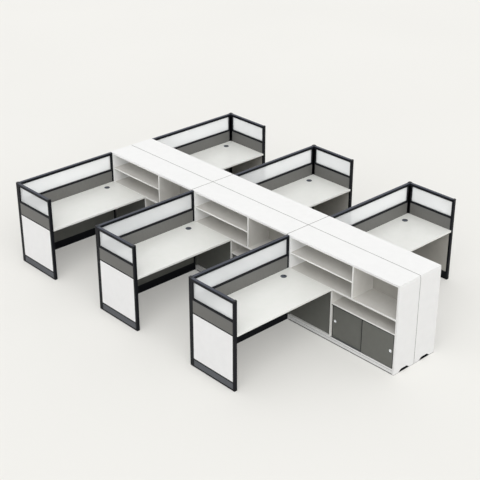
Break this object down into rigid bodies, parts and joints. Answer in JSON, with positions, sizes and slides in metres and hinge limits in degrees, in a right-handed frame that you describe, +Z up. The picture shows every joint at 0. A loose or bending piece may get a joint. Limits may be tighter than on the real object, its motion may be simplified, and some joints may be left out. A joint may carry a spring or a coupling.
{
  "type": "cubicle workstation",
  "caption": "Run of open office stations: screened desks on both sides of a storage spine with open cubbies and bypass sliding doors.",
  "frame": {"origin": "on the floor under the middle of the run", "axes": "+Z up, the storage spine runs along Y, the left and right rows of desks stand out along -X and +X"},
  "size_m": [3.95, 5.4, 1.2],
  "materials": {
    "white_laminate": "white melamine-faced board with matching edge band",
    "desk_laminate": "pale grey-white fine-textured laminate",
    "grey_laminate": "mid-grey melamine-faced board",
    "door_laminate": "warm dark grey melamine with fine grain",
    "belt_laminate": "warm grey laminate tile",
    "white_tile": "satin white tile",
    "kick_steel": "grey powder-coated sheet",
    "frame_aluminium": "blue-black satin powder coat on extruded aluminium",
    "frame_plastic": "black moulded nylon",
    "frosted_glass": "satin-frosted pane",
    "track_aluminium": "natural anodised extrusion",
    "pull_chrome": "satin chrome pressing",
    "coated_steel": "dark grey powder-coated steel",
    "grommet_plastic": "dark blue-grey moulded plastic"
  },
  "bodies": {
    "structure": {"cabinet_tops": "white_laminate", "cabinet_sides": "white_laminate", "anchor_panels": "white_laminate", "cabinet_backs": "white_laminate", "cabinet_floors": "white_laminate", "cabinet_kick_rails": "white_laminate", "counter_shelves": "white_laminate", "upper_dividers": "white_laminate", "upper_shelves": "white_laminate", "lower_dividers": "white_laminate", "door_head_shelves": "white_laminate", "knee_panels": "grey_laminate", "head_tracks": "track_aluminium", "floor_tracks": "track_aluminium", "desk_tops": "desk_laminate", "desk_support_rails": "coated_steel", "desk_joint_plates": "coated_steel", "grommet_rings": "grommet_plastic", "screen_posts": "frame_aluminium", "post_caps": "frame_plastic", "screen_stiles": "frame_aluminium", "top_rails": "frame_aluminium", "mid_rails": "frame_aluminium", "cross_rails": "frame_aluminium", "bottom_rails": "frame_aluminium", "glass_panes": "frosted_glass", "belt_tiles": "belt_laminate", "lower_tiles": "white_tile", "kick_plates": "kick_steel", "screen_glides": "frame_plastic"},
    "left_1_near_door": {"left_1_near_door": "door_laminate", "left_1_near_pull": "pull_chrome"},
    "left_1_far_door": {"left_1_far_door": "door_laminate", "left_1_far_pull": "pull_chrome"},
    "left_2_near_door": {"left_2_near_door": "door_laminate", "left_2_near_pull": "pull_chrome"},
    "left_2_far_door": {"left_2_far_door": "door_laminate", "left_2_far_pull": "pull_chrome"},
    "left_3_near_door": {"left_3_near_door": "door_laminate", "left_3_near_pull": "pull_chrome"},
    "left_3_far_door": {"left_3_far_door": "door_laminate", "left_3_far_pull": "pull_chrome"},
    "right_1_near_door": {"right_1_near_door": "door_laminate", "right_1_near_pull": "pull_chrome"},
    "right_1_far_door": {"right_1_far_door": "door_laminate", "right_1_far_pull": "pull_chrome"},
    "right_2_near_door": {"right_2_near_door": "door_laminate", "right_2_near_pull": "pull_chrome"},
    "right_2_far_door": {"right_2_far_door": "door_laminate", "right_2_far_pull": "pull_chrome"},
    "right_3_near_door": {"right_3_near_door": "door_laminate", "right_3_near_pull": "pull_chrome"},
    "right_3_far_door": {"right_3_far_door": "door_laminate", "right_3_far_pull": "pull_chrome"},
    "left_1_grommet_cap": {"left_1_grommet_cap": "grommet_plastic"},
    "left_2_grommet_cap": {"left_2_grommet_cap": "grommet_plastic"},
    "left_3_grommet_cap": {"left_3_grommet_cap": "grommet_plastic"},
    "right_1_grommet_cap": {"right_1_grommet_cap": "grommet_plastic"},
    "right_2_grommet_cap": {"right_2_grommet_cap": "grommet_plastic"},
    "right_3_grommet_cap": {"right_3_grommet_cap": "grommet_plastic"}
  },
  "joints": [
    {"name": "left_1_near_door_slide", "type": "slide", "parent": "structure", "child": "left_1_near_door", "axis": [0, 1, 0], "range_m": [0, 0.4845]},
    {"name": "left_1_far_door_slide", "type": "slide", "parent": "structure", "child": "left_1_far_door", "axis": [0, -1, 0], "range_m": [0, 0.4845]},
    {"name": "left_2_near_door_slide", "type": "slide", "parent": "structure", "child": "left_2_near_door", "axis": [0, 1, 0], "range_m": [0, 0.4845]},
    {"name": "left_2_far_door_slide", "type": "slide", "parent": "structure", "child": "left_2_far_door", "axis": [0, -1, 0], "range_m": [0, 0.4845]},
    {"name": "left_3_near_door_slide", "type": "slide", "parent": "structure", "child": "left_3_near_door", "axis": [0, 1, 0], "range_m": [0, 0.4845]},
    {"name": "left_3_far_door_slide", "type": "slide", "parent": "structure", "child": "left_3_far_door", "axis": [0, -1, 0], "range_m": [0, 0.4845]},
    {"name": "right_1_near_door_slide", "type": "slide", "parent": "structure", "child": "right_1_near_door", "axis": [0, 1, 0], "range_m": [0, 0.4845]},
    {"name": "right_1_far_door_slide", "type": "slide", "parent": "structure", "child": "right_1_far_door", "axis": [0, -1, 0], "range_m": [0, 0.4845]},
    {"name": "right_2_near_door_slide", "type": "slide", "parent": "structure", "child": "right_2_near_door", "axis": [0, 1, 0], "range_m": [0, 0.4845]},
    {"name": "right_2_far_door_slide", "type": "slide", "parent": "structure", "child": "right_2_far_door", "axis": [0, -1, 0], "range_m": [0, 0.4845]},
    {"name": "right_3_near_door_slide", "type": "slide", "parent": "structure", "child": "right_3_near_door", "axis": [0, 1, 0], "range_m": [0, 0.4845]},
    {"name": "right_3_far_door_slide", "type": "slide", "parent": "structure", "child": "right_3_far_door", "axis": [0, -1, 0], "range_m": [0, 0.4845]},
    {"name": "left_1_grommet_cap_turn", "type": "hinge", "parent": "structure", "child": "left_1_grommet_cap", "pos_m": [-0.587, 2.534, 0.75], "axis": [0, 0, 1], "continuous": true},
    {"name": "left_2_grommet_cap_turn", "type": "hinge", "parent": "structure", "child": "left_2_grommet_cap", "pos_m": [-0.587, 0.734, 0.75], "axis": [0, 0, 1], "continuous": true},
    {"name": "left_3_grommet_cap_turn", "type": "hinge", "parent": "structure", "child": "left_3_grommet_cap", "pos_m": [-0.587, -1.066, 0.75], "axis": [0, 0, 1], "continuous": true},
    {"name": "right_1_grommet_cap_turn", "type": "hinge", "parent": "structure", "child": "right_1_grommet_cap", "pos_m": [1.721, 2.534, 0.75], "axis": [0, 0, 1], "continuous": true},
    {"name": "right_2_grommet_cap_turn", "type": "hinge", "parent": "structure", "child": "right_2_grommet_cap", "pos_m": [1.721, 0.734, 0.75], "axis": [0, 0, 1], "continuous": true},
    {"name": "right_3_grommet_cap_turn", "type": "hinge", "parent": "structure", "child": "right_3_grommet_cap", "pos_m": [1.721, -1.066, 0.75], "axis": [0, 0, 1], "continuous": true}
  ]
}
